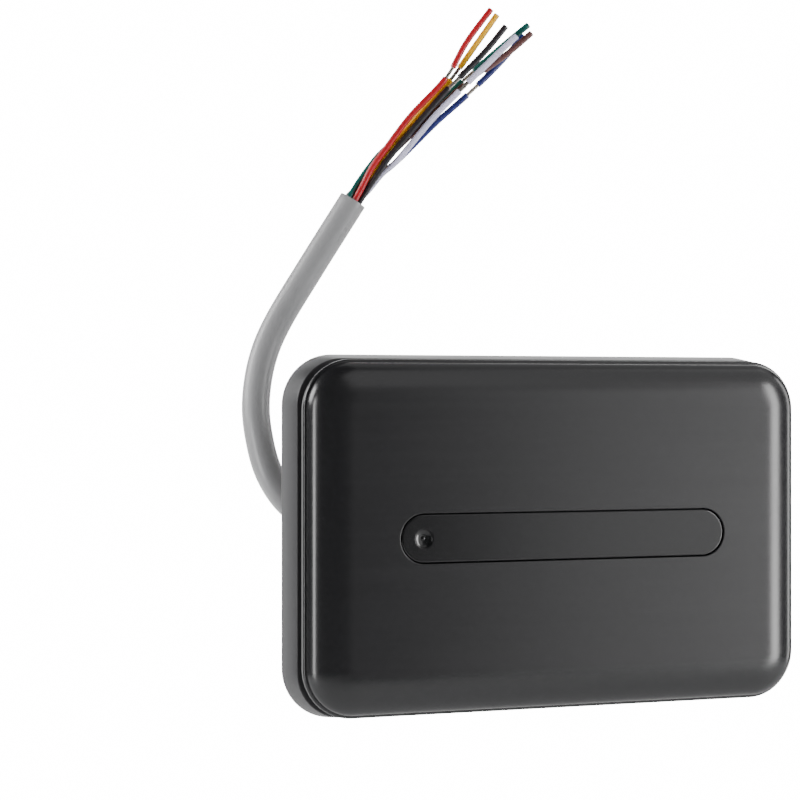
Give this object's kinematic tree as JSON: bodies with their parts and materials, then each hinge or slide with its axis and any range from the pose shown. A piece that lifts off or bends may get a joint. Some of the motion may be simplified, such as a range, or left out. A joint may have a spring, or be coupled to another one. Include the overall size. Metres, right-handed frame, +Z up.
{
  "type": "rfid card reader",
  "caption": "Wall-mounted RFID card reader: rounded flat case with a light bar and status lamp, on a pull-off wall base, with a cable pigtail.",
  "frame": {"origin": "centre of the mounting base's wall face", "axes": "+Y into the wall, +Z up, +X to the right of someone facing the reader; the front looks along -Y"},
  "size_m": [0.1174, 0.0539, 0.1568],
  "materials": {
    "brushed_charcoal": "fine horizontal hairline, satin",
    "base_plastic": "fine matte",
    "smoked_insert": "smooth semi-gloss",
    "clear_plastic": "clear, polished",
    "milky_plastic": "diffusing white",
    "rubber_black": "matte",
    "board_green": "solder resist",
    "copper_wire": "etched copper track",
    "chip_black": "moulded epoxy",
    "steel": "zinc plated",
    "connector_ivory": "moulded nylon",
    "jacket_grey": "smooth PVC",
    "core_red": "smooth PVC",
    "core_yellow": "smooth PVC",
    "core_black": "smooth PVC",
    "core_green": "smooth PVC",
    "core_brown": "smooth PVC",
    "core_white": "smooth PVC",
    "core_blue": "smooth PVC"
  },
  "bodies": {
    "mounting_base": {"mounting_base": "base_plastic", "locking_screw": "steel"},
    "reader_module": {"front_cover": "brushed_charcoal", "back_panel": "base_plastic", "light_bar": "smoked_insert", "light_bar_seal": "rubber_black", "status_lens": "clear_plastic", "light_guide": "milky_plastic", "main_board": "board_green", "antenna_coil": "copper_wire", "reader_chip": "chip_black", "controller_chip": "chip_black", "line_driver_chip": "chip_black", "voltage_regulator": "chip_black", "crystal": "steel", "buzzer": "chip_black", "power_capacitor": "connector_ivory", "status_led": "milky_plastic", "bar_led_1": "milky_plastic", "bar_led_2": "milky_plastic", "bar_led_3": "milky_plastic", "board_connector": "connector_ivory", "cable_plug": "connector_ivory", "inner_loom": "jacket_grey", "board_screw_1": "steel", "board_screw_2": "steel", "board_screw_3": "steel", "board_screw_4": "steel", "panel_screw_1": "steel", "panel_screw_2": "steel", "panel_screw_3": "steel", "panel_screw_4": "steel", "panel_gasket": "rubber_black", "tamper_switch": "chip_black", "tamper_spring": "steel", "cable_boot": "rubber_black", "cable_jacket": "jacket_grey", "core_red": "core_red", "core_yellow": "core_yellow", "core_black": "core_black", "core_green": "core_green", "core_brown": "core_brown", "core_white": "core_white", "core_blue": "core_blue"},
    "tamper_plunger": {"tamper_plunger": "connector_ivory"}
  },
  "joints": [
    {"name": "module_release", "type": "slide", "parent": "mounting_base", "child": "reader_module", "axis": [0, -1, 0], "range_m": [0, 0.01]},
    {"name": "tamper_press", "type": "slide", "parent": "reader_module", "child": "tamper_plunger", "axis": [0, -1, 0], "range_m": [0, 0.0015], "stiffness_N_per_m": 300, "deforming": ["tamper_spring"]}
  ]
}
